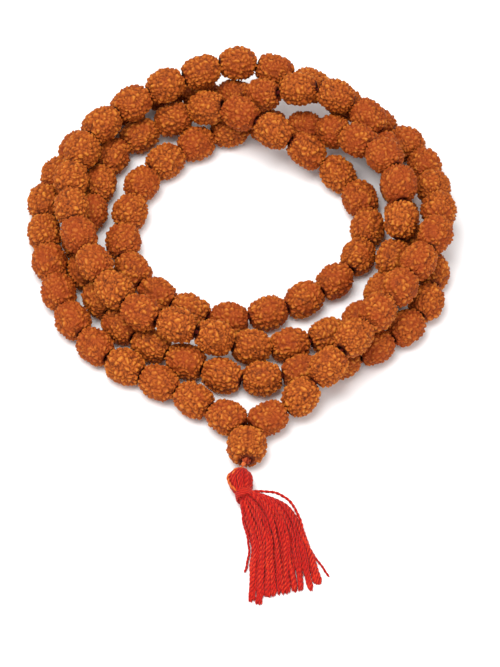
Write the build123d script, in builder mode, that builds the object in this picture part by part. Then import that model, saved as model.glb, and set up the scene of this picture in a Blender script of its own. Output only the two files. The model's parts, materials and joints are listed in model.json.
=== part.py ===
from build123d import *
import math
import os

# A prayer mala: 108 seed beads and a larger guru bead on one cord, closed into a loop that lies
# wound in four loose turns, with a thread tassel tied on under the guru bead.
# The origin is on the surface the mala lies on, in the middle of its outline. +Z is up, and the
# tassel points along -Y. Every length is in millimetres.

os.makedirs("parts", exist_ok=True)

# Driving dimensions: the beads
bead_diameter = 7.8
bead_gap = 0.2
bead_bore_flare = 0.2
turn_count = 4
beads_per_turn = 27
free_beads_per_turn = 12

# The cord, and its room in a bead's bore, where a curved strand needs more the longer the bead is
cord_diameter = 1.0
bead_bore_play = 1.2

# The guru bead, where the loop closes and both strands pass through one bore
guru_diameter = 8.8
guru_length = 8.0
guru_bore_play = 1.0
guru_bore_flare = 0.3
guru_standoff = 1.3
strand_gap = 0.05
strand_spread = 0.05

# The knot of the two cord ends, which sits in the guru bead's lower mouth
knot_play = 0.2
knot_length = 1.2
knot_proud = 0.3

# The tassel
link_diameter = 1.2
link_gap = 0.05
link_offset = 0.7
loop_thread = 0.9
head_offset = 1.85
head_standoff = 1.05
head_diameter = 5.4
head_length = 6.2
neck_diameter = 3.6
binding_length = 2.2
binding_wall = 0.5
skirt_length = 25.0
skirt_width = 17.0
skirt_end_thickness = 1.6
tassel_turn = 11.5
skirt_turn = 25.0

# The cord's route is chosen for beads of this diameter, and grows with them
route_bead_diameter = 7.8
route_scale = bead_diameter / route_bead_diameter
bead_bore = cord_diameter + bead_bore_play * route_scale

# The two strands part just above the guru bead, and the guru bead hangs from there
guru_x = 1.25 * route_scale
guru_z = 4.5 * route_scale
parting_y = -30 * route_scale
guru_y = parting_y - guru_standoff - guru_length / 2
guru_bore = 2 * cord_diameter + guru_bore_play
knot_face_y = guru_y - guru_length / 2 - knot_proud + knot_length
strand_at_knot = (cord_diameter + strand_gap) / 2
strand_in_bore = strand_at_knot + strand_spread

route_points = [
    # first turn, over the fourth on the right and round the far side
    (11, -24.5, 4),
    (21.5, -15, 11.5),
    (29, -5.5, 12),
    (37, 6, 11.5),
    (45.5, 22.5, 11),
    (44.5, 36, 7.5),
    (41.5, 51, 4),
    (32.5, 60, 4),
    (15.5, 68, 10),
    (0.5, 71.5, 14),
    (-11.5, 67, 14),
    (-23.5, 61.5, 12),
    (-34.5, 51.5, 11),
    (-39.5, 39.5, 10),
    (-38.5, 24.5, 11.5),
    (-35, 14.5, 11.5),
    # second turn
    (-25, -2.5, 11.5),
    (-10.5, -9, 12),
    (3, -8, 4),
    (16.5, -5.5, 4),
    (29, 1.5, 4),
    (34, 15.5, 4),
    (37, 25.5, 13),
    (35, 39, 15),
    (26, 48.5, 12.5),
    (16, 59.5, 4),
    (-1.5, 60, 4),
    (-16.5, 50, 4),
    (-23.5, 42, 4),
    (-28, 23, 4),
    (-23, 11, 4),
    # third turn, the innermost
    (-10.5, 2, 4),
    (0.5, 0.5, 4),
    (16, 7, 4),
    (27, 18, 4),
    (30, 33, 4),
    (22, 46, 4),
    (7.5, 50.5, 12.5),
    (-5.5, 59.5, 12.5),
    (-18.5, 60.5, 4),
    (-31, 51, 4),
    (-34, 35, 4),
    (-38, 22, 4),
    (-32.5, 7.5, 4),
    (-26, -3, 4),
    # fourth turn, mostly on the surface
    (-13, -11, 4),
    (-1, -17, 4),
    (13.5, -14.5, 4),
    (27.5, -9.5, 4),
    (41, 2, 4),
    (44.5, 16.5, 4),
    (36.5, 30.5, 4),
    (36, 43, 4),
    (29.5, 57, 12),
    (17, 61.5, 16),
    (4, 61.5, 12),
    (-5.5, 69, 4),
    (-20, 70.5, 4),
    (-34.5, 59.5, 4),
    (-43, 43.5, 4),
    (-46, 34.5, 4),
    (-44.5, 21, 4),
    (-40, 3.5, 4),
    (-31, -9.5, 4),
    (-18.5, -17, 4),
    # back to the guru bead, from the left
    (-7.5, -24, 4),
]
route = [
    Vector(guru_x + strand_at_knot, knot_face_y, guru_z),
    Vector(guru_x + strand_in_bore, guru_y, guru_z),
    Vector(guru_x + strand_in_bore, parting_y, guru_z),
    *[Vector(*point) * route_scale for point in route_points],
    Vector(guru_x - strand_in_bore, parting_y, guru_z),
    Vector(guru_x - strand_in_bore, guru_y, guru_z),
    Vector(guru_x - strand_at_knot, knot_face_y, guru_z),
]

# Each bend of the cord is as large as its two runs allow
bend_share = 0.45
bend_radii = []
for before, corner, after in zip(route, route[1:], route[2:]):
    run_in = corner - before
    run_out = after - corner
    half_turn = math.radians(run_in.get_angle(run_out)) / 2
    shorter_run = min(run_in.length, run_out.length)
    bend_radii.append(bend_share * shorter_run / math.tan(half_turn))
print("cord bend radii:", [round(radius, 1) for radius in bend_radii])

with BuildPart() as stringing_cord:
    with BuildLine() as cord_path:
        FilletPolyline(*route, radius=bend_radii)
    with BuildSketch(Plane(origin=route[0], z_dir=route[1] - route[0])):
        Circle(cord_diameter / 2)
    sweep()
stringing_cord.part.label = "stringing_cord"
export_step(stringing_cord.part, "parts/stringing_cord.step")

cord_wire = cord_path.wire()
cord_length = cord_wire.length
cord_section = math.pi * cord_diameter**2 / 4
print("cord length:", round(cord_length, 1))
print("cord volume:", round(stringing_cord.part.volume, 1), "expected:", round(cord_section * cord_length, 1))

# The beads share the cord evenly, and the first and last one end just short of the parting
bead_count = turn_count * beads_per_turn
parting_overlap = 0.2
lead_length = parting_y - knot_face_y - parting_overlap
bead_pitch = (cord_length - 2 * lead_length) / bead_count
bead_length = bead_pitch - bead_gap
print("bead pitch:", round(bead_pitch, 3), "bead length:", round(bead_length, 3))


def place_on_cord(number):
    """The centre of a bead, counted from 1, and the cord's direction there."""
    distance = lead_length + (number - 0.5) * bead_pitch
    centre = cord_wire.position_at(distance, position_mode=PositionMode.LENGTH)
    direction = cord_wire.tangent_at(distance, position_mode=PositionMode.LENGTH)
    return centre, direction


def lengthwise_plane(centre, direction):
    """A plane through a bead's axis: its X leads out from the axis, and its Y runs along it."""
    outward = direction.cross(Vector(0, 0, 1)).normalized()
    return Plane(origin=centre, x_dir=outward, z_dir=outward.cross(direction))


def half_bead(diameter, length, bore, flare):
    """Half of a bead's lengthwise section: an ellipse less the bore and its flared mouths."""
    Ellipse(diameter / 2, length / 2)
    with Locations((-diameter / 2, 0)):
        Rectangle(diameter + bore, length, mode=Mode.SUBTRACT)
    # where the ellipse meets the bore
    mouth = length / 2 * math.sqrt(1 - (bore / diameter) ** 2)
    for end in (-1, 1):
        with Locations((bore / 2, end * mouth)):
            Rectangle(2 * flare, 2 * flare, rotation=45, mode=Mode.SUBTRACT)


# Beads that spin on the cord alone, one to a node
for turn in range(turn_count):
    for place in range(free_beads_per_turn):
        number = turn * beads_per_turn + 2 * place + 2
        centre, direction = place_on_cord(number)
        with BuildPart() as bead:
            with BuildSketch(lengthwise_plane(centre, direction)):
                half_bead(bead_diameter, bead_length, bead_bore, bead_bore_flare)
            revolve(axis=Axis(centre, direction))
        bead.part.label = f"bead_{number:03d}"
        export_step(bead.part, f"parts/bead_{number:03d}.step")

# The beads between them, one node to a turn
free_places = [2 * place + 1 for place in range(free_beads_per_turn)]
for turn in range(turn_count):
    with BuildPart() as bead_row:
        for place in range(beads_per_turn):
            if place not in free_places:
                centre, direction = place_on_cord(turn * beads_per_turn + place + 1)
                with BuildSketch(lengthwise_plane(centre, direction)):
                    half_bead(bead_diameter, bead_length, bead_bore, bead_bore_flare)
                revolve(axis=Axis(centre, direction))
    bead_row.part.label = f"beads_turn_{turn + 1}"
    export_step(bead_row.part, f"parts/beads_turn_{turn + 1}.step")

# The guru bead, with both cord ends side by side in its bore
guru_centre = Vector(guru_x, guru_y, guru_z)
guru_axis = Vector(0, 1, 0)
with BuildPart() as guru_bead:
    with BuildSketch(lengthwise_plane(guru_centre, guru_axis)):
        half_bead(guru_diameter, guru_length, guru_bore, guru_bore_flare)
    revolve(axis=Axis(guru_centre, guru_axis))
guru_bead.part.label = "guru_bead"
export_step(guru_bead.part, "parts/guru_bead.step")

# The knot that ties the two cord ends together
knot_radius = guru_bore / 2 - knot_play
knot_rounding = 0.35
with BuildPart() as cord_knot:
    with BuildSketch(Plane(origin=(guru_x, knot_face_y, guru_z), z_dir=(0, -1, 0))):
        Circle(knot_radius)
    extrude(amount=knot_length)
    fillet(cord_knot.edges().group_by(Axis.Y)[0], knot_rounding)
cord_knot.part.label = "cord_knot"
export_step(cord_knot.part, "parts/cord_knot.step")

# The tassel hangs from a small round thread knot under the cord's knot, a little to the left
link_radius = link_diameter / 2
link_centre = Vector(guru_x - link_offset, knot_face_y - knot_length - link_gap - link_radius, guru_z)
with BuildPart() as tassel_link:
    with Locations(link_centre):
        Sphere(link_radius)
tassel_link.part.label = "tassel_link"
export_step(tassel_link.part, "parts/tassel_link.step")

# The tassel's head lies on the surface, turned a little to the right
head_radius = head_diameter / 2
neck_radius = neck_diameter / 2
head_top = Vector(guru_x - head_offset, knot_face_y - knot_length - head_standoff, head_radius)
tassel_axis = Vector(math.sin(math.radians(tassel_turn)), -math.cos(math.radians(tassel_turn)), 0)
head_plane = lengthwise_plane(head_top, tassel_axis)
head_shape = [
    (0, 0),
    (0.5 * head_radius, 0.04 * head_length),
    (0.86 * head_radius, 0.2 * head_length),
    (head_radius, 0.5 * head_length),
    (0.9 * head_radius, 0.8 * head_length),
    (neck_radius, head_length),
]
with BuildPart() as tassel_head:
    with BuildSketch(head_plane):
        with BuildLine():
            Spline(*head_shape)
            Polyline(head_shape[-1], (neck_radius, head_length + binding_length))
            Line((neck_radius, head_length + binding_length), (0, head_length + binding_length))
            Line((0, head_length + binding_length), (0, 0))
        make_face()
    revolve(axis=Axis(head_top, tassel_axis))
tassel_head.part.label = "tassel_head"
export_step(tassel_head.part, "parts/tassel_head.step")

# The loop thread that runs from under the round knot down into the head
loop_end = head_top + tassel_axis * head_radius
loop_direction = (loop_end - link_centre).normalized()
loop_start = link_centre + loop_direction * (link_radius + link_gap)
with BuildPart() as tassel_loop:
    with BuildSketch(Plane(origin=loop_start, z_dir=loop_direction)):
        Circle(loop_thread / 2)
    extrude(amount=(loop_end - loop_start).length)
    add(tassel_head.part, mode=Mode.SUBTRACT)
tassel_loop.part.label = "tassel_loop"
export_step(tassel_loop.part, "parts/tassel_loop.step")

# The thread wound round the neck
binding_rounding = 0.2
with BuildPart() as neck_binding:
    with BuildSketch(head_plane):
        with Locations((neck_radius + binding_wall / 2, head_length + binding_length / 2)):
            RectangleRounded(binding_wall, binding_length, binding_rounding)
    revolve(axis=Axis(head_top, tassel_axis))
neck_binding.part.label = "neck_binding"
export_step(neck_binding.part, "parts/neck_binding.step")

# The skirt of loose threads spreads out on the surface and thins towards its tips
skirt_top = head_top + tassel_axis * (head_length + binding_length)
skirt_axis = Vector(math.sin(math.radians(skirt_turn)), -math.cos(math.radians(skirt_turn)), 0)
skirt_sections = [
    # share of the length, width, thickness
    (0, neck_diameter, neck_diameter),
    (0.3, 0.5 * skirt_width, 0.85 * neck_diameter),
    (0.7, 0.85 * skirt_width, 0.5 * neck_diameter + 0.5 * skirt_end_thickness),
    (1, skirt_width, skirt_end_thickness),
]
floor_gap = 0.05
with BuildPart() as tassel_skirt:
    for share, width, thickness in skirt_sections:
        # the first section is the neck's end, and the rest turn towards the skirt's own axis
        direction = tassel_axis if share == 0 else skirt_axis
        height = skirt_top.Z if share == 0 else thickness / 2 + floor_gap
        middle = skirt_top + skirt_axis * (share * skirt_length)
        across = Vector(0, 0, 1).cross(direction)
        with BuildSketch(Plane(origin=(middle.X, middle.Y, height), x_dir=across, z_dir=direction)):
            Ellipse(width / 2, thickness / 2)
    loft()
tassel_skirt.part.label = "tassel_skirt"
export_step(tassel_skirt.part, "parts/tassel_skirt.step")
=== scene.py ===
# %% [markdown]
# # A seed-bead mala
# A mala is a string of 108 dried seeds and one larger guru seed, closed into a loop, with a thread
# tassel under the guru seed. Here it lies wound in four loose turns. The lesson strings the cord
# first, grows the seeds along it with Geometry Nodes, ties the tassel, and then lights the pile.

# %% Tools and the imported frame
import json
import math
import random
import bpy
from mathutils import Matrix, Vector


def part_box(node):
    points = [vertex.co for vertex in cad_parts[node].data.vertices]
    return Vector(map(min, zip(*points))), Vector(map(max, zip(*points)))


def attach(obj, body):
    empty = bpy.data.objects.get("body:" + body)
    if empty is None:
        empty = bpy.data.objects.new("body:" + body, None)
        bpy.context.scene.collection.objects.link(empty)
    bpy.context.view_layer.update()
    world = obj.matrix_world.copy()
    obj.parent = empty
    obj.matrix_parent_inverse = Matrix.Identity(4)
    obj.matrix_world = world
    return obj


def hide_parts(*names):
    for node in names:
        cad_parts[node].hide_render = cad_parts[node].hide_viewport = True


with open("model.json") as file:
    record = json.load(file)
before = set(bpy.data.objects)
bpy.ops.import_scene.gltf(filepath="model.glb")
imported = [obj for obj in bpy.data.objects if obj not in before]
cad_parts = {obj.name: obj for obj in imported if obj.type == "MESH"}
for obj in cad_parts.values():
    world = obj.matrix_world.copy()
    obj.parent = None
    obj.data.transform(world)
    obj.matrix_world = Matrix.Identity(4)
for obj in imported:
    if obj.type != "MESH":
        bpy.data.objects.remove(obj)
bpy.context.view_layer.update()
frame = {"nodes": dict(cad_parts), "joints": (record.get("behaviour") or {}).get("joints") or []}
MM = 0.001

# %% [markdown]
# ## The camera
# The mala is seen from the tassel's side, from about fifty degrees above the table and from well
# back, as with a long lens, so near and far beads look almost the same size. The lens follows from
# how much of the table the picture has to hold at that distance.

# %% The camera


def new_object(name, data):
    """An object for some data, linked to the scene."""
    made = bpy.data.objects.new(name, data)
    bpy.context.scene.collection.objects.link(made)
    return made


CAMERA_DISTANCE = 0.87
CAMERA_ELEVATION = math.radians(50.9)
PICTURE_HEIGHT = 0.1505
SENSOR_HEIGHT = 24
camera_target = Vector((0.00196, 0.0001, 0.0))
toward_camera = Vector((0, -math.cos(CAMERA_ELEVATION), math.sin(CAMERA_ELEVATION)))
camera = new_object("camera", bpy.data.cameras.new("camera"))
camera.location = camera_target + toward_camera * CAMERA_DISTANCE
camera.rotation_euler = (-toward_camera).to_track_quat("-Z", "Y").to_euler()
camera.data.sensor_fit = "VERTICAL"
camera.data.sensor_height = SENSOR_HEIGHT
camera.data.lens = SENSOR_HEIGHT * CAMERA_DISTANCE / PICTURE_HEIGHT
camera.data.clip_end = 10
bpy.context.scene.camera = camera
print("lens:", round(camera.data.lens, 1), "mm")

# %% [markdown]
# ## The cord
# The beads hang on one thin cotton cord whose two ends meet in the guru seed. A real cord has no
# corners, so it is a NURBS curve that the listed points only pull towards themselves: it runs
# level where the points are level, and climbs where one turn lies over another.

# %% The cord's route
CORD_DIAMETER = 1.0 * MM
KNOT_FACE_Y = -38.4
cord_route = [
    # out of the guru bead, to the right
    (1.775, KNOT_FACE_Y, 4.5), (1.825, -35.3, 4.5), (1.825, -30, 4.5),
    # first turn, over the fourth on the right and round the far side
    (11, -24.5, 4), (21.5, -15, 11.5), (29, -5.5, 12), (37, 6, 11.5), (45.5, 22.5, 11),
    (44.5, 36, 7.5), (41.5, 51, 4), (32.5, 60, 4), (15.5, 68, 10), (0.5, 71.5, 14),
    (-11.5, 67, 14), (-23.5, 61.5, 12), (-34.5, 51.5, 11), (-39.5, 39.5, 10),
    (-38.5, 24.5, 11.5), (-35, 14.5, 11.5),
    # second turn
    (-25, -2.5, 11.5), (-10.5, -9, 12), (3, -8, 4), (16.5, -5.5, 4), (29, 1.5, 4),
    (34, 15.5, 4), (37, 25.5, 13), (35, 39, 15), (26, 48.5, 12.5), (16, 59.5, 4),
    (-1.5, 60, 4), (-16.5, 50, 4), (-23.5, 42, 4), (-28, 23, 4), (-23, 11, 4),
    # third turn, the innermost
    (-10.5, 2, 4), (0.5, 0.5, 4), (16, 7, 4), (27, 18, 4), (30, 33, 4), (22, 46, 4),
    (7.5, 50.5, 12.5), (-5.5, 59.5, 12.5), (-18.5, 60.5, 4), (-31, 51, 4), (-34, 35, 4),
    (-38, 22, 4), (-32.5, 7.5, 4), (-26, -3, 4),
    # fourth turn, mostly on the table
    (-13, -11, 4), (-1, -17, 4), (13.5, -14.5, 4), (27.5, -9.5, 4), (41, 2, 4),
    (44.5, 16.5, 4), (36.5, 30.5, 4), (36, 43, 4), (29.5, 57, 12), (17, 61.5, 16),
    (4, 61.5, 12), (-5.5, 69, 4), (-20, 70.5, 4), (-34.5, 59.5, 4), (-43, 43.5, 4),
    (-46, 34.5, 4), (-44.5, 21, 4), (-40, 3.5, 4), (-31, -9.5, 4), (-18.5, -17, 4),
    # back to the guru bead, from the left
    (-7.5, -24, 4), (0.675, -30, 4.5), (0.675, -35.3, 4.5), (0.725, KNOT_FACE_Y, 4.5),
]


def smooth_curves(name, paths, resolution):
    """One smooth open spline for each list of points, in metres."""
    data = bpy.data.curves.new(name, "CURVE")
    data.dimensions = "3D"
    for path in paths:
        spline = data.splines.new("NURBS")
        spline.points.add(len(path) - 1)
        for control, point in zip(spline.points, path):
            control.co = (*point, 1)
        spline.order_u = 3
        spline.use_endpoint_u = True
        spline.resolution_u = resolution
    return data


def round_cord(name, points, diameter):
    """A round cord along the spline that the points pull on."""
    data = smooth_curves(name, [points], 8)
    data.bevel_depth = diameter / 2
    data.bevel_resolution = 3
    data.use_fill_caps = True
    return new_object(name, data)


def centreline(thread):
    """The points a curve really passes through, read with its thickness taken off."""
    depth = thread.data.bevel_depth
    thread.data.bevel_depth = 0
    bpy.context.view_layer.update()
    mesh = bpy.data.meshes.new_from_object(thread)
    line = [vertex.co.copy() for vertex in mesh.vertices]
    bpy.data.meshes.remove(mesh)
    thread.data.bevel_depth = depth
    return line


stringing_cord = round_cord("cord", [Vector(point) * MM for point in cord_route], CORD_DIAMETER)
cord_line = centreline(stringing_cord)
cord_steps = [(b - a).length for a, b in zip(cord_line, cord_line[1:])]
cord_length = sum(cord_steps)
print("cord:", round(cord_length, 4), "m over", len(cord_line), "points")

# %% [markdown]
# ## Where each seed sits
# The seeds share the cord evenly, so equal steps along it say roughly where each one is. The frame
# says exactly: a seed's node has its middle in the middle of its box, and a seed that spins has its
# axis in its joint. Seeds that share a node are told apart by the step they lie nearest to.

# %% Reading the seeds' places
SEED_COUNT = 108
SEEDS_PER_TURN = 27
FIRST_BEAD_Y = -30.2
TURNS = 4
lead = (FIRST_BEAD_Y - KNOT_FACE_Y) * MM


def along_cord(distance):
    """A place on the cord and its direction there, a distance from the cord's start."""
    for start, end, step in zip(cord_line, cord_line[1:], cord_steps):
        if distance <= step:
            return start.lerp(end, distance / step), (end - start).normalized()
        distance -= step
    return cord_line[-1].copy(), (cord_line[-1] - cord_line[-2]).normalized()


def middle_of(node):
    """The middle of a node's box."""
    low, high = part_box(node)
    return (low + high) / 2


pitch = (cord_length - 2 * lead) / SEED_COUNT
seeds = {n: along_cord(lead + (n - 0.5) * pitch) for n in range(1, SEED_COUNT + 1)}
spin_axes = {j["child"]: Vector(j["axis"]) for j in frame["joints"] if j.get("continuous")}
shared = [n for n in seeds if f"bead_{n:03d}" not in frame["nodes"]]
for seed in seeds:
    if seed not in shared:
        node = f"bead_{seed:03d}"
        seeds[seed] = (middle_of(node), spin_axes[node].normalized())
for turn in range(TURNS):
    here = [n for n in shared if (n - 1) // SEEDS_PER_TURN == turn]
    corners = {n: [Vector((math.inf,) * 3), Vector((-math.inf,) * 3)] for n in here}
    for vertex in frame["nodes"][f"beads_turn_{turn + 1}"].data.vertices:
        nearest = min(here, key=lambda n: (seeds[n][0] - vertex.co).length_squared)
        low, high = corners[nearest]
        for axis in range(3):
            low[axis] = min(low[axis], vertex.co[axis])
            high[axis] = max(high[axis], vertex.co[axis])
    for seed, (low, high) in corners.items():
        seeds[seed] = ((low + high) / 2, seeds[seed][1])
print("pitch:", round(pitch / MM, 2), "mm; seeds in shared nodes:", len(shared))

# %% [markdown]
# ## Small helpers
# A finished piece is a plain mesh that rides on one body of the frame, stands for one or more of
# its nodes and takes a material slot. Colours are given as eyes read them, and the shader wants
# them in linear light. Node trees are written with a few short functions, so that a tree reads
# like the sums it does.

# %% Helpers


def linear(red, green, blue):
    """A colour given in everyday 0-255 steps, as the shader's linear light."""
    return tuple((channel / 255) ** 2.2 for channel in (red, green, blue)) + (1,)


def finish_piece(name, mesh, material, body, slot, *nodes):
    """Makes a finished piece of a mesh and ties it to its body and its nodes. The slot is not used."""
    mesh.materials.clear()
    mesh.materials.append(material)
    piece = new_object(name, mesh)
    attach(piece, body)
    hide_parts(*nodes)
    return piece


def node_maker(tree):
    """Four functions that write a tree: any node, sums on numbers, sums on vectors, a soft step."""
    def add(kind, inputs=None, **options):
        node = tree.nodes.new(kind)
        for option, value in options.items():
            setattr(node, option, value)
        for key, value in (inputs or {}).items():
            if isinstance(value, bpy.types.NodeSocket):
                tree.links.new(value, node.inputs[key])
            else:
                node.inputs[key].default_value = value
        return node

    def number(operation, *values, clamp=False):
        node = add("ShaderNodeMath", dict(enumerate(values)), operation=operation, use_clamp=clamp)
        return node.outputs[0]

    def vector(operation, *values, scale=None):
        inputs = dict(enumerate(values))
        if scale is not None:
            inputs["Scale"] = scale
        return add("ShaderNodeVectorMath", inputs, operation=operation).outputs[0]

    def step(value, low, high):
        """Rises smoothly from 0 to 1 as the value goes from low to high."""
        return add("ShaderNodeMapRange", {"Value": value, "From Min": low, "From Max": high},
                   interpolation_type="SMOOTHSTEP").outputs[0]
    return add, number, vector, step


def new_tree(name, kind, inputs, outputs):
    """A node group with named inputs and outputs."""
    tree = bpy.data.node_groups.new(name, kind)
    for label, socket in inputs:
        tree.interface.new_socket(label, in_out="INPUT", socket_type="NodeSocket" + socket)
    for label, socket in outputs:
        tree.interface.new_socket(label, in_out="OUTPUT", socket_type="NodeSocket" + socket)
    return tree


def grow(name, base, tree, settings):
    """Runs a Geometry Nodes tree on some data and gives back the plain mesh that it makes."""
    holder = new_object(name, base)
    modifier = holder.modifiers.new("grow", "NODES")
    modifier.node_group = tree
    for item in tree.interface.items_tree:
        if item.in_out == "INPUT" and item.name in settings:
            modifier[item.identifier] = settings[item.name]
    bpy.context.view_layer.update()
    seen = holder.evaluated_get(bpy.context.evaluated_depsgraph_get())
    mesh = bpy.data.meshes.new_from_object(seen)
    mesh.name = name
    bpy.data.objects.remove(holder)
    return mesh


def mix_colours(add, factor, first, second):
    """A colour between two others."""
    node = add("ShaderNodeMix", {0: factor, 6: first, 7: second}, data_type="RGBA")
    return node.outputs[2]


PIT_DEPTH = 0.1 * MM
GLOSS = 0.15


def material_from(name, group, settings, roughness=None, sheen=0.0):
    """A Principled material whose colour and bump come from a shader group, and its roughness too
    unless one is given for the whole surface."""
    material = bpy.data.materials.new(name)
    material.use_nodes = True
    tree = material.node_tree
    shader = tree.nodes["Principled BSDF"]
    look = tree.nodes.new("ShaderNodeGroup")
    look.node_tree = group
    for label, value in settings.items():
        look.inputs[label].default_value = value
    bump = tree.nodes.new("ShaderNodeBump")
    bump.inputs["Distance"].default_value = PIT_DEPTH
    bump.inputs["Strength"].default_value = 0.8
    tree.links.new(look.outputs["Color"], shader.inputs["Base Color"])
    if roughness is None:
        tree.links.new(look.outputs["Roughness"], shader.inputs["Roughness"])
    else:
        shader.inputs["Roughness"].default_value = roughness
    tree.links.new(look.outputs["Height"], bump.inputs["Height"])
    tree.links.new(bump.outputs["Normal"], shader.inputs["Normal"])
    shader.inputs["Sheen Weight"].default_value = sheen
    shader.inputs["Specular IOR Level"].default_value = GLOSS
    return material


print("helpers ready")

# %% [markdown]
# ## What the seeds are made of
# A seed of this kind is the stone of a fruit: dry, matt and orange brown. Its colour carries painted
# light: a painted highlight on the ridges and painted shade in the furrows. The seed's mesh carries
# how high each spot stands, so the painted highlight and shade follow the carving exactly, and every
# seed is a little lighter or redder than the next. Pits too small to model are bump, and they are
# painted darker or lighter with the same painted shade and highlight.

# %% The seed material
seed_look = new_tree("seed look", "ShaderNodeTree",
                     (("Ridge highlight", "Color"), ("Skin", "Color"), ("Furrow shade", "Color"), ("Reddish", "Color")),
                     (("Color", "Color"), ("Roughness", "Float"), ("Height", "Float")))
add, number, vector, step = node_maker(seed_look)
given = add("NodeGroupInput").outputs
relief = add("ShaderNodeAttribute", attribute_name="relief").outputs["Fac"]
tint = add("ShaderNodeAttribute", attribute_name="tint").outputs["Fac"]
place = add("ShaderNodeTexCoord").outputs["Object"]
pits = add("ShaderNodeTexNoise", {"Vector": place, "Scale": 2600.0, "Detail": 3.0}).outputs[0]
patches = add("ShaderNodeTexNoise", {"Vector": place, "Scale": 330.0, "Detail": 2.0}).outputs[0]
# painted shade in the furrows and pits and a painted highlight on the ridges: the colour follows the relief
# and the pit noise
spot = number("ADD", relief, number("MULTIPLY", number("SUBTRACT", pits, 0.5), 0.45))
skin = mix_colours(add, step(spot, 0.02, 0.5), given["Furrow shade"], given["Skin"])
skin = mix_colours(add, step(spot, 0.5, 1.0), skin, given["Ridge highlight"])
redness = number("MULTIPLY", step(number("ADD", patches, number("MULTIPLY", tint, 0.35)), 0.5, 0.95), 0.6)
skin = mix_colours(add, redness, skin, given["Reddish"])
roughness = number("SUBTRACT", 0.72, number("MULTIPLY", step(spot, 0.4, 1.0), 0.2))
add("NodeGroupOutput", {"Color": skin, "Roughness": roughness, "Height": pits})
# the darkest colour, for the furrows, is painted shade, and the lightest, for the ridges, is a painted
# highlight; the middle and reddish colours are the seed's own
seed_material = material_from("seed", seed_look, {
    "Ridge highlight": linear(196, 120, 45), "Skin": linear(163, 81, 29),
    "Furrow shade": linear(66, 24, 8), "Reddish": linear(144, 58, 23)})
print("seed look nodes:", len(seed_look.nodes))

# %% [markdown]
# ## Growing a seed
# Each seed starts as a flat grid rolled into a tube that closes on itself: up the outside, over the
# rim and back down through the bore, so there are no poles and no open edge. Its outside is a
# barrel, fuller at the ends than an egg. Rounded cells about a millimetre across, bent by noise,
# swell into the crumbly ridges, and five shallow furrows run from end to end, as they do on the
# real seed. A seed number shifts the noise, so no two seeds are alike.

# %% The seed as a Geometry Nodes tree
SEED_AROUND = 110
SEED_ALONG = 59
SEED_OUTSIDE = 0.88
FURROWS = 5
FURROW_WIDTH = 0.13
LUMP_HEIGHT = 0.9 * MM
NOISE_SHIFT = (7.3, 3.1, 5.7)
seed_tree = new_tree("seed", "GeometryNodeTree", (
    ("Geometry", "Geometry"), ("Diameter", "Float"), ("Length", "Float"), ("Bore", "Float"),
    ("Fullness", "Float"), ("Cell size", "Float"), ("Ridge height", "Float"),
    ("Furrow depth", "Float"), ("Seed number", "Float"), ("Tint", "Float")),
    (("Geometry", "Geometry"),))
add, number, vector, step = node_maker(seed_tree)
given = add("NodeGroupInput").outputs
sheet = add("GeometryNodeMeshGrid", {"Size X": 1.0, "Size Y": 1.0, "Vertices X": SEED_AROUND + 1,
                                     "Vertices Y": SEED_ALONG}).outputs["Mesh"]
flat = add("ShaderNodeSeparateXYZ", {0: add("GeometryNodeInputPosition").outputs[0]}).outputs
around = number("ADD", flat[0], 0.5)
along = number("ADD", flat[1], 0.5)
outside = number("DIVIDE", along, SEED_OUTSIDE, clamp=True)
inside = number("DIVIDE", number("SUBTRACT", along, SEED_OUTSIDE), 1 - SEED_OUTSIDE, clamp=True)
radius = number("MULTIPLY", given["Diameter"], 0.5)
half_length = number("MULTIPLY", given["Length"], 0.5)
bore_radius = number("MULTIPLY", given["Bore"], 0.5)
rim_sine = number("POWER", number("DIVIDE", bore_radius, radius), number("DIVIDE", 1.0, given["Fullness"]))
rim_angle = number("ARCSINE", rim_sine)
swing = number("SUBTRACT", math.pi, number("MULTIPLY", rim_angle, 2.0))
angle = number("ADD", rim_angle, number("MULTIPLY", outside, swing))
girth = number("MULTIPLY", number("POWER", number("SINE", angle), given["Fullness"]), radius)
height = number("MULTIPLY", number("MULTIPLY", number("COSINE", angle), half_length), -1.0)
way_back = number("MULTIPLY", number("MULTIPLY", number("COSINE", rim_angle), given["Length"]), inside)
height = number("SUBTRACT", height, way_back)
turn = number("MULTIPLY", around, math.tau)
side_x, side_y = number("COSINE", turn), number("SINE", turn)
plain = add("ShaderNodeCombineXYZ", {0: number("MULTIPLY", side_x, girth),
                                     1: number("MULTIPLY", side_y, girth), 2: height}).outputs[0]
shift = vector("SCALE", NOISE_SHIFT, scale=given["Seed number"])
cells_at = vector("ADD", vector("SCALE", plain, scale=number("DIVIDE", 1.0, given["Cell size"])), shift)
bend = add("ShaderNodeTexNoise", {"Vector": cells_at, "Scale": 0.8, "Detail": 1.0}).outputs["Color"]
bent = vector("MULTIPLY_ADD", bend, (1.5, 1.5, 1.5), cells_at)
edge = add("ShaderNodeTexVoronoi", {"Vector": bent, "Scale": 1.0, "Randomness": 0.9},
           feature="DISTANCE_TO_EDGE").outputs["Distance"]
crumbs = add("ShaderNodeTexNoise", {"Vector": cells_at, "Scale": 1.7, "Detail": 3.0,
                                    "Roughness": 0.6}).outputs[0]
lumps = add("ShaderNodeTexNoise", {"Vector": cells_at, "Scale": 0.22, "Detail": 1.0}).outputs[0]
ridges = number("ADD", number("MULTIPLY", step(edge, 0.0, 0.34), 0.68), number("MULTIPLY", crumbs, 0.42))
wander = number("MULTIPLY", number("SUBTRACT", lumps, 0.5), 0.5)
fifth = number("MULTIPLY", around, FURROWS)
fifth = number("FRACT", number("ADD", fifth, number("ADD", wander, given["Seed number"])))
furrow = number("SUBTRACT", 1.0, step(number("ABSOLUTE", number("SUBTRACT", fifth, 0.5)), 0.0, FURROW_WIDTH))
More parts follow.
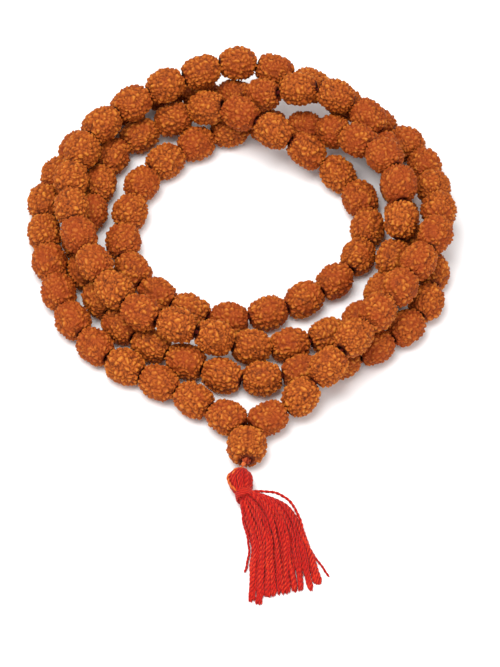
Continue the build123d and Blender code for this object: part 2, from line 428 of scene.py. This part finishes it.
relief = number("MULTIPLY", ridges, number("SUBTRACT", 1.0, number("MULTIPLY", furrow, 0.3)))
off_rim = step(girth, bore_radius, number("MULTIPLY", bore_radius, 1.9))
swell = number("MULTIPLY", number("SUBTRACT", ridges, 0.55), given["Ridge height"])
swell = number("SUBTRACT", swell, number("MULTIPLY", furrow, given["Furrow depth"]))
swell = number("ADD", swell, number("MULTIPLY", number("SUBTRACT", lumps, 0.5), LUMP_HEIGHT))
swell = number("MULTIPLY", swell, off_rim)
squeeze = number("DIVIDE", radius, half_length)
lean = number("MULTIPLY", number("DIVIDE", height, half_length), squeeze)
spread = number("DIVIDE", girth, radius)
outward = add("ShaderNodeCombineXYZ", {0: number("MULTIPLY", side_x, spread),
                                       1: number("MULTIPLY", side_y, spread), 2: lean}).outputs[0]
push = vector("SCALE", vector("NORMALIZE", outward), scale=swell)
# the relief stored here sets the seeds' painted shade in the furrows and painted highlight on the ridges
carved = add("GeometryNodeStoreNamedAttribute", {
    "Geometry": sheet, "Name": "relief", "Value": number("MULTIPLY", relief, off_rim)},
    data_type="FLOAT", domain="POINT").outputs[0]
carved = add("GeometryNodeStoreNamedAttribute", {"Geometry": carved, "Name": "tint", "Value": given["Tint"]},
             data_type="FLOAT", domain="POINT").outputs[0]
carved_at = vector("ADD", plain, push)
carved = add("GeometryNodeSetPosition", {"Geometry": carved, "Position": carved_at}).outputs[0]
carved = add("GeometryNodeMergeByDistance", {"Geometry": carved, "Distance": 0.001 * MM}).outputs[0]
carved = add("GeometryNodeSetShadeSmooth", {"Geometry": carved}).outputs[0]
carved = add("GeometryNodeRealizeInstances", {"Geometry": carved}).outputs[0]
carved = add("GeometryNodeSetMaterial", {"Geometry": carved, "Material": seed_material}).outputs[0]
add("NodeGroupOutput", {"Geometry": carved})
print("seed tree nodes:", len(seed_tree.nodes))

# %% [markdown]
# ## Stringing the seeds
# Real seeds differ in size and lie turned any way round the cord. Each is grown with its own
# number, turned onto the cord's direction and set down where the frame has it. Seeds that spin on
# their own are a piece each; the others of a turn are joined into one piece.

# %% The seeds
SEED_DIAMETER = 7.75 * MM
SEED_LENGTH = 8.95 * MM
SEED_BORE = 2.2 * MM
SEED_SHAPE = {"Fullness": 0.72, "Cell size": 1.1 * MM, "Ridge height": 0.8 * MM, "Furrow depth": 0.12 * MM}
chance = random.Random(108)


def face_outward(mesh):
    """Turns a closed mesh's faces outward if its volume comes out negative."""
    mesh.calc_loop_triangles()
    points = [vertex.co for vertex in mesh.vertices]
    middle = sum(points, Vector()) / len(points)
    volume = 0.0
    for triangle in mesh.loop_triangles:
        a, b, c = (points[i] - middle for i in triangle.vertices)
        volume += a.dot(b.cross(c))
    if volume < 0:
        mesh.flip_normals()


def grown_seed(seed, centre, direction, diameter, length, bore):
    """A seed's mesh, grown with its own number, lying along the cord at its place."""
    settings = {**SEED_SHAPE, "Diameter": diameter, "Length": length, "Bore": bore,
                "Seed number": seed * 1.37, "Tint": chance.random()}
    mesh = grow(f"seed_{seed:03d}", bpy.data.meshes.new("start"), seed_tree, settings)
    roll = Matrix.Rotation(chance.uniform(0, math.tau), 4, "Z")
    lie_along = direction.to_track_quat("Z", "Y").to_matrix().to_4x4()
    mesh.transform(Matrix.Translation(centre) @ lie_along @ roll)
    face_outward(mesh)
    return mesh


def joined(name, meshes):
    """One mesh made of several, with their attributes."""
    parts = [new_object(name, mesh) for mesh in meshes]
    with bpy.context.temp_override(active_object=parts[0], object=parts[0],
                                   selected_objects=parts, selected_editable_objects=parts):
        bpy.ops.object.join()
    mesh = parts[0].data
    bpy.data.objects.remove(parts[0])
    mesh.name = name
    return mesh


shared_meshes = {turn: [] for turn in range(TURNS)}
for seed, (centre, direction) in seeds.items():
    diameter = SEED_DIAMETER * chance.uniform(0.965, 1.03)
    length = SEED_LENGTH * chance.uniform(0.985, 1.01)
    mesh = grown_seed(seed, centre, direction, diameter, length, SEED_BORE)
    if seed in shared:
        shared_meshes[(seed - 1) // SEEDS_PER_TURN].append(mesh)
    else:
        node = f"bead_{seed:03d}"
        finish_piece(f"seed_{seed:03d}", mesh, seed_material, node, "seed_bead", node)
for turn, meshes in shared_meshes.items():
    row = joined(f"seeds_turn_{turn + 1}", meshes)
    finish_piece(row.name, row, seed_material, "root", "seed_bead", f"beads_turn_{turn + 1}")
    print(row.name, "has", len(row.polygons), "faces")

# %% [markdown]
# ## The guru seed
# The guru seed is larger and rounder, and it is bored wide enough for both ends of the cord.

# %% The guru seed
GURU_DIAMETER = 8.75 * MM
GURU_LENGTH = 8.1 * MM
GURU_BORE = 2.5 * MM
guru_mesh = grown_seed(SEED_COUNT + 1, middle_of("guru_bead"), Vector((0, 1, 0)), GURU_DIAMETER, GURU_LENGTH,
                       GURU_BORE)
finish_piece("guru_seed", guru_mesh, seed_material, "guru_bead", "guru_seed", "guru_bead")
print("guru seed faces:", len(guru_mesh.polygons))

# %% [markdown]
# ## Thread
# The cord and the tassel are cotton thread of the same make: fine fibres twisted into plies, dull
# with a soft sheen. The colour has painted shade in the grooves between the plies and between the
# fibres, and a paler, more orange colour where the dye took less, painted only on the crowns of the
# plies, so it is partly the dye and partly a painted highlight. The look works from the object's own
# coordinates and from two values that each thread's mesh carries: how far a spot is from the groove
# between the plies, and how the thread took the dye.

# %% The thread material
COTTON = {"roughness": 0.78, "sheen": 0.08}
thread_look = new_tree("thread look", "ShaderNodeTree",
                       (("Ply shade", "Color"), ("Body", "Color"), ("Bright", "Color")),
                       (("Color", "Color"), ("Height", "Float")))
add, number, vector, step = node_maker(thread_look)
given = add("NodeGroupInput").outputs
ply = add("ShaderNodeAttribute", attribute_name="ply").outputs["Fac"]
dye = add("ShaderNodeAttribute", attribute_name="dye").outputs["Fac"]
place = add("ShaderNodeTexCoord").outputs["Object"]
fibres = add("ShaderNodeTexNoise", {"Vector": place, "Scale": 5200.0, "Detail": 2.0}).outputs[0]
fading = add("ShaderNodeTexNoise", {"Vector": place, "Scale": 420.0, "Detail": 2.0}).outputs[0]
# painted shade in the grooves between the plies and in the low spots of the fibre bump
fuzz = number("MULTIPLY", number("SUBTRACT", fibres, 0.5), 0.5)
raised = number("ADD", number("MULTIPLY", ply, 0.75), fuzz)
thread_colour = mix_colours(add, step(raised, 0.0, 0.55), given["Ply shade"], given["Body"])
# paler dye in random patches, shown only on the ply crowns, so it is partly dye and partly a painted
# highlight
paler = step(number("ADD", number("MULTIPLY", dye, 0.5), fading), 0.55, 1.1)
brightness = number("MULTIPLY", paler, step(raised, 0.3, 0.9))
thread_colour = mix_colours(add, brightness, thread_colour, given["Bright"])
add("NodeGroupOutput", {"Color": thread_colour, "Height": fibres})
# each set's first colour is painted shade for the grooves between the plies; its last is paler dye, painted
# only on the ply crowns as a highlight
tassel_colours = {"Ply shade": linear(132, 16, 15), "Body": linear(186, 30, 22), "Bright": linear(208, 68, 34)}
link_colours = {"Ply shade": linear(160, 56, 22), "Body": linear(206, 98, 42), "Bright": linear(224, 138, 84)}
cord_colours = {"Ply shade": linear(96, 26, 14), "Body": linear(150, 50, 24), "Bright": linear(184, 86, 44)}
tassel_material = material_from("tassel thread", thread_look, tassel_colours, **COTTON)
link_material = material_from("link thread", thread_look, link_colours, **COTTON)
cord_material = material_from("cord thread", thread_look, cord_colours, **COTTON)
stringing_cord.data.materials.append(cord_material)
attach(stringing_cord, "root")
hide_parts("stringing_cord")
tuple(cord_line[0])
print("thread look nodes:", len(thread_look.nodes))

# %% [markdown]
# ## Thread as Geometry Nodes
# A thread follows a guide curve. The tree spaces points evenly along the guide, lets it wander a
# little, and sweeps a two-lobed section along it that turns as it goes, which is what two twisted
# plies look like. The ends are drawn in, and each thread gets its own dye value.

# %% The thread tree
TWIST_LENGTH = 2.4 * MM
THREAD_SIDES = 8
thread_tree = new_tree("thread", "GeometryNodeTree", (
    ("Geometry", "Geometry"), ("Radius", "Float"), ("Spacing", "Float"), ("Twist length", "Float"),
    ("Wander", "Float"), ("Sides", "Int"), ("Material", "Material")), (("Geometry", "Geometry"),))
add, number, vector, step = node_maker(thread_tree)
given = add("NodeGroupInput").outputs
strand = add("GeometryNodeResampleCurve", {"Curve": given["Geometry"], "Length": given["Spacing"]},
             mode="LENGTH").outputs[0]
which = add("GeometryNodeCurveOfPoint").outputs["Curve Index"]
where = add("GeometryNodeSplineParameter").outputs
position = add("GeometryNodeInputPosition").outputs[0]
drift = add("ShaderNodeTexNoise", {"Vector": position, "W": number("MULTIPLY", which, 1.73), "Scale": 260.0,
                                   "Detail": 1.0}, noise_dimensions="4D").outputs["Color"]
loose = number("MULTIPLY", given["Wander"], step(where["Factor"], 0.0, 0.35))
drift = vector("SCALE", vector("SUBTRACT", drift, (0.5, 0.5, 0.5)), scale=loose)
strand = add("GeometryNodeSetPosition", {"Geometry": strand, "Offset": drift}).outputs[0]
dye_value = add("FunctionNodeRandomValue", {"Min": 0.0, "Max": 1.0, "ID": which, "Seed": 7},
                data_type="FLOAT")
dye_value = next(o for o in dye_value.outputs if o.enabled)
strand = add("GeometryNodeStoreNamedAttribute", {"Geometry": strand, "Name": "dye", "Value": dye_value},
             data_type="FLOAT", domain="POINT").outputs[0]
twist = number("DIVIDE", number("MULTIPLY", where["Length"], math.tau), given["Twist length"])
twist = number("ADD", twist, number("MULTIPLY", which, 2.4))
strand = add("GeometryNodeSetCurveTilt", {"Curve": strand, "Tilt": twist}).outputs[0]
ends = number("MULTIPLY", step(where["Factor"], -0.002, 0.02), step(where["Factor"], 1.004, 0.975))
size = number("MULTIPLY", number("ADD", 0.45, number("MULTIPLY", ends, 0.55)),
              number("ADD", 0.85, number("MULTIPLY", dye_value, 0.3)))
strand = add("GeometryNodeSetCurveRadius", {"Curve": strand, "Radius": size}).outputs[0]
ring = add("GeometryNodeCurvePrimitiveCircle", {"Resolution": given["Sides"],
                                                "Radius": given["Radius"]}).outputs[0]
ring_way = add("GeometryNodeSplineParameter").outputs["Factor"]
lobe = number("COSINE", number("MULTIPLY", ring_way, 2 * math.tau))
lobe = number("ADD", number("MULTIPLY", lobe, 0.5), 0.5)
waist = number("ADD", 0.72, number("MULTIPLY", lobe, 0.28))
pinch = vector("SCALE", add("GeometryNodeInputPosition").outputs[0], scale=waist)
ring = add("GeometryNodeStoreNamedAttribute", {"Geometry": ring, "Name": "ply", "Value": lobe},
           data_type="FLOAT", domain="POINT").outputs[0]
ring = add("GeometryNodeSetPosition", {"Geometry": ring, "Position": pinch}).outputs[0]
radius = add("GeometryNodeInputRadius").outputs[0]
spun = add("GeometryNodeCurveToMesh", {"Curve": strand, "Profile Curve": ring, "Scale": radius,
                                       "Fill Caps": True}).outputs[0]
spun = add("GeometryNodeSetShadeSmooth", {"Geometry": spun}).outputs[0]
spun = add("GeometryNodeRealizeInstances", {"Geometry": spun}).outputs[0]
spun = add("GeometryNodeSetMaterial", {"Geometry": spun, "Material": given["Material"]}).outputs[0]
add("NodeGroupOutput", {"Geometry": spun})


def spun_threads(name, paths, radius, material, wander=0.0, spacing=0.4 * MM):
    """The mesh of some threads, given the paths that they follow."""
    settings = {"Radius": radius, "Spacing": spacing, "Twist length": TWIST_LENGTH, "Wander": wander,
                "Sides": THREAD_SIDES, "Material": material}
    return grow(name, smooth_curves(name, paths, 6), thread_tree, settings)


print("thread tree nodes:", len(thread_tree.nodes))

# %% [markdown]
# ## The knot and the link
# The two cord ends are tied in the mouth of the guru seed. Below it a paler thread is tied in a
# small round knot of its own, which lets the tassel swing, and runs on into the tassel's head. A
# knot is thread wound round and round, each turn tilted a little from the last.

# %% The knot and the link
STEPS_A_TURN = 14
knot_centre = middle_of("cord_knot")
link_centre = middle_of("tassel_link")


def wound_ball(centre, radius, turns):
    """A path that winds round a ball, its plane tipping over as it goes."""
    path = []
    for i in range(turns * STEPS_A_TURN + 1):
        turn = math.tau * i / STEPS_A_TURN
        over = Matrix.Rotation(math.pi * i / (turns * STEPS_A_TURN), 3, "X")
        tip = over @ Matrix.Rotation(0.35 * turn / turns, 3, "Y")
        on_circle = Vector((math.cos(turn), math.sin(turn), 0.12 * math.sin(turn * 0.5)))
        path.append(centre + tip @ on_circle * radius)
    return path


knot_mesh = spun_threads("cord_knot", [wound_ball(knot_centre, 0.72 * MM, 6)], 0.42 * MM, cord_material,
                         spacing=0.2 * MM)
finish_piece("tied_knot", knot_mesh, cord_material, "root", "cord_thread", "cord_knot")
link_mesh = spun_threads("link_knot", [wound_ball(link_centre, 0.3 * MM, 4)], 0.24 * MM, link_material,
                         spacing=0.12 * MM)
finish_piece("link_knot", link_mesh, link_material, "tassel_link", "link_thread", "tassel_link")
print("knots:", len(knot_mesh.polygons), "and", len(link_mesh.polygons), "faces")

# %% [markdown]
# ## The tassel's head
# A tassel is a hank of threads folded double over its loop and bound below the fold, so the head
# is a ball of threads that all run from the crown to the neck. A core in the threads' shade colour
# fills what shows between them: painted shade in the gaps. The threads turn a little round the
# head, as they do when the neck is bound tight.

# %% The head
TASSEL_TURN = math.radians(11.5)
tassel_way = Vector((math.sin(TASSEL_TURN), -math.cos(TASSEL_TURN), 0))
tassel_side = Vector((math.cos(TASSEL_TURN), math.sin(TASSEL_TURN), 0))
up = Vector((0, 0, 1))
head_top = Vector((-0.6, -40.65, 2.7)) * MM
HEAD_LENGTH = 6.2 * MM
luck = random.Random(21)


def around_axis(share, angle, girth):
    """A place round the tassel's axis, a share of the head's length below its crown."""
    middle = head_top + tassel_way * (share * HEAD_LENGTH)
    return middle + (tassel_side * math.cos(angle) + up * math.sin(angle)) * girth


HEAD_PROFILE = [(0.02, 0.25), (0.03, 0.9), (0.12, 1.7), (0.3, 2.35), (0.52, 2.5), (0.74, 2.15), (0.92, 1.6),
                (1.1, 1.45), (1.3, 1.4)]
head_paths = []
HEAD_THREADS = 34
LAYER_DROP = 0.35 * MM
for layer in (0, 1):
    for i in range(HEAD_THREADS):
        start = math.tau * (i + 0.5 * layer + luck.uniform(-0.25, 0.25)) / HEAD_THREADS
        lean = 0.5 + luck.uniform(-0.12, 0.12)
        bulge = luck.uniform(-0.12, 0.12)
        head_paths.append([
            around_axis(share, start + lean * share, (girth + bulge) * MM - LAYER_DROP * layer)
            for share, girth in HEAD_PROFILE])
head_mesh = spun_threads("head", head_paths, 0.3 * MM, tassel_material, wander=0.12 * MM)
print("head threads:", len(head_paths), "faces:", len(head_mesh.polygons))

# %% [markdown]
# ## Core, neck and loop
# The core is a turned shape a little smaller than the ball of threads. The neck is wound with the
# same thread, six close turns. The loop is the paler thread: it comes down from its knot, goes
# over the crown and shows again as a slack strand at the head's left side.

# %% Core, binding and loop
CORE_SIDES = 40


def turned_core(name, profile):
    """A closed solid of revolution about the tassel's axis, from shares of the head and radii."""
    sides, rings = CORE_SIDES, len(profile)
    points = [around_axis(share, math.tau * i / sides, girth * MM)
              for share, girth in profile for i in range(sides)]
    faces = []
    for ring in range(rings - 1):
        for i in range(sides):
            j = (i + 1) % sides
            faces.append((ring * sides + i, ring * sides + j, (ring + 1) * sides + j, (ring + 1) * sides + i))
    faces.append(tuple(range(sides - 1, -1, -1)))
    faces.append(tuple((rings - 1) * sides + i for i in range(sides)))
    mesh = bpy.data.meshes.new(name)
    mesh.from_pydata(points, [], faces)
    # a low ply value paints the core mostly in the threads' groove shade colour: painted shade between the
    # head's threads
    for label, value in (("ply", 0.1), ("dye", 0.3)):
        mesh.attributes.new(label, "FLOAT", "POINT").data.foreach_set("value", [value] * len(points))
    mesh.shade_smooth()
    face_outward(mesh)
    return mesh


core = turned_core("core", [(0.05, 0.5), (0.14, 1.4), (0.3, 2.0), (0.52, 2.15), (0.74, 1.8), (0.92, 1.2),
                            (1.34, 1.05)])
head_piece = joined("tassel_head_threads", [head_mesh, core])
finish_piece(head_piece.name, head_piece, tassel_material, "tassel", "tassel_thread", "tassel_head")

BINDING_TURNS = 6
BINDING_STEPS = 20
BINDING_RADIUS = 1.85 * MM
binding_path = []
for i in range(BINDING_TURNS * BINDING_STEPS + 1):
    share = 1.02 + 0.26 * i / (BINDING_TURNS * BINDING_STEPS)
    binding_path.append(around_axis(share, math.tau * i / BINDING_STEPS, BINDING_RADIUS))
binding_mesh = spun_threads("neck_thread", [binding_path], 0.26 * MM, tassel_material, spacing=0.3 * MM)
finish_piece("neck_thread", binding_mesh, tassel_material, "tassel", "tassel_thread", "neck_binding")

loop_paths = [
    [link_centre + Vector((-0.1, -0.45, -0.3)) * MM, link_centre + Vector((-0.6, -0.9, -0.6)) * MM,
     around_axis(0.12, 1.9, 2.0 * MM), around_axis(0.3, 2.3, 2.5 * MM), around_axis(0.5, 2.4, 2.0 * MM)],
    [around_axis(0.06, 2.9, 1.3 * MM), around_axis(0.22, 2.85, 2.75 * MM), around_axis(0.45, 2.8, 3.05 * MM),
     around_axis(0.7, 2.75, 2.9 * MM), around_axis(0.88, 2.7, 2.2 * MM), around_axis(0.98, 2.65, 1.3 * MM)],
]
loop_mesh = spun_threads("loop_thread", loop_paths, 0.36 * MM, link_material, spacing=0.25 * MM)
finish_piece("loop_thread", loop_mesh, link_material, "tassel", "link_thread", "tassel_loop")
print("loop thread faces:", len(loop_mesh.polygons), "binding faces:", len(binding_mesh.polygons))

# %% [markdown]
# ## The skirt
# Below the neck the threads are free. They leave the neck close together, fan out to the right,
# and lie flat on the table with ragged ends, because they were cut by hand. Each thread's path is
# drawn between the skirt's left and right edge, at its own share of the width and the thickness,
# and its end is a little longer or shorter than its neighbour's. Towards the ends the threads
# gather in tufts, and a few stray from the bundle.

# %% The skirt
SKIRT_THREADS = 156
TUFTS = 10
LEFT_EDGE = [(-0.2, -47.6), (0.2, -51.6), (1.8, -56.0), (2.7, -60.4), (2.0, -65.0), (1.6, -73.4)]
RIGHT_EDGE = [(2.6, -46.7), (9.8, -47.9), (12.8, -54.0), (14.4, -58.8), (15.6, -62.6), (17.0, -68.2)]
SKIRT_THICKNESS = (3.0, 4.6, 4.2, 3.2, 2.4, 1.3)
ROOT_HEIGHT = 2.7
LIFT = 0.35
LAYERS = 3
TUFT_PULL = (0, 0, 0, 0.1, 0.35, 0.85)
tuft_spare = [luck.uniform(-1.5, 0.8) for _ in range(TUFTS)]
tuft_middle = [(tuft + 0.5 + luck.uniform(-0.3, 0.3)) / TUFTS for tuft in range(TUFTS)]
skirt_paths = []
for i in range(SKIRT_THREADS):
    row, in_row = divmod(i, SKIRT_THREADS // LAYERS)
    across = min(max((in_row + luck.uniform(-0.6, 1.6)) * LAYERS / SKIRT_THREADS, 0), 1)
    layer = (row + luck.uniform(0.1, 0.9)) / LAYERS
    tuft = min(int(across * TUFTS), TUFTS - 1)
    spare = tuft_spare[tuft] + luck.uniform(-0.9, 0.5)
    path = []
    for level, (left, right, thick) in enumerate(zip(LEFT_EDGE, RIGHT_EDGE, SKIRT_THICKNESS)):
        # the threads of a tuft draw together towards their ends
        share = across + (tuft_middle[tuft] - across) * TUFT_PULL[level]
        x = left[0] + (right[0] - left[0]) * share
        y = left[1] + (right[1] - left[1]) * share
        crown = 1 - abs(2 * across - 1) ** 2.5
        rise = LIFT + (thick * (0.35 + 0.65 * crown) - LIFT) * layer
        if level == 0:
            rise = ROOT_HEIGHT + (layer - 0.5) * 2.4 * math.sin(math.pi * across)
        if level == len(LEFT_EDGE) - 1:
            y, rise = y + spare, max(rise * 0.6, 0.4)
        path.append(Vector((x + luck.uniform(-0.3, 0.3) * min(level, 2), y, rise)) * MM)
    skirt_paths.append(path)
stray_paths = [
    [(2.0, -47.0, 3.6), (8.6, -46.9, 3.8), (12.0, -51.4, 2.8), (13.8, -56.4, 1.8), (13.0, -60.5, 1.2)],
    [(0.2, -47.4, 3.2), (0.4, -54, 2.4), (1.9, -59, 1.2), (1.8, -63, 0.5), (0.9, -66.4, 0.4)],
    [(2.0, -48, 2), (12.4, -56, 0.8), (16.2, -62.6, 0.4), (19.0, -67.4, 0.4)],
]
skirt_paths += [[Vector(point) * MM for point in path] for path in stray_paths]
skirt_mesh = spun_threads("skirt", skirt_paths, 0.36 * MM, tassel_material, wander=0.9 * MM)
finish_piece("skirt_threads", skirt_mesh, tassel_material, "tassel", "tassel_thread", "tassel_skirt")
lowest = min(vertex.co.z for vertex in skirt_mesh.vertices)
print("skirt threads:", len(skirt_paths), "faces:", len(skirt_mesh.polygons))
print("lowest thread:", round(lowest / MM, 2), "mm")

# %% [markdown]
# ## Floor and light
# The mala lies on a plain white surface. A broad lamp overhead and a little toward the camera
# gives soft light with dark gaps between the seeds, and the white surround fills the shadows.

# %% Floor and light
FLOOR_REACH = 3.0
floor_mesh = bpy.data.meshes.new("floor")
floor_corners = [(x * FLOOR_REACH, y * FLOOR_REACH, 0) for x, y in ((-1, -1), (1, -1), (1, 1), (-1, 1))]
floor_mesh.from_pydata(floor_corners, [], [(0, 1, 2, 3)])
floor = new_object("floor", floor_mesh)
floor_material = bpy.data.materials.new("white table")
floor_material.use_nodes = True
floor_shader = floor_material.node_tree.nodes["Principled BSDF"]
floor_shader.inputs["Base Color"].default_value = (0.93, 0.93, 0.93, 1)
floor_shader.inputs["Roughness"].default_value = 0.9
floor_mesh.materials.append(floor_material)


def soft_lamp(name, place, side, power):
    """A square lamp aimed at the mala."""
    lamp = new_object(name, bpy.data.lights.new(name, "AREA"))
    lamp.data.shape = "SQUARE"
    lamp.data.size = side
    lamp.data.energy = power
    lamp.location = place
    lamp.rotation_euler = (-Vector(place)).to_track_quat("-Z", "Y").to_euler()


soft_lamp("overhead", (-0.12, -0.12, 0.62), 0.4, 4.2)
soft_lamp("front", (0.35, -0.6, 0.5), 0.5, 1.6)
world = bpy.data.worlds.new("surround")
world.use_nodes = True
world.node_tree.nodes["Background"].inputs["Color"].default_value = (1, 1, 1, 1)
world.node_tree.nodes["Background"].inputs["Strength"].default_value = 0.75
bpy.context.scene.world = world
bpy.context.scene.view_settings.view_transform = "Standard"
print("lights set")
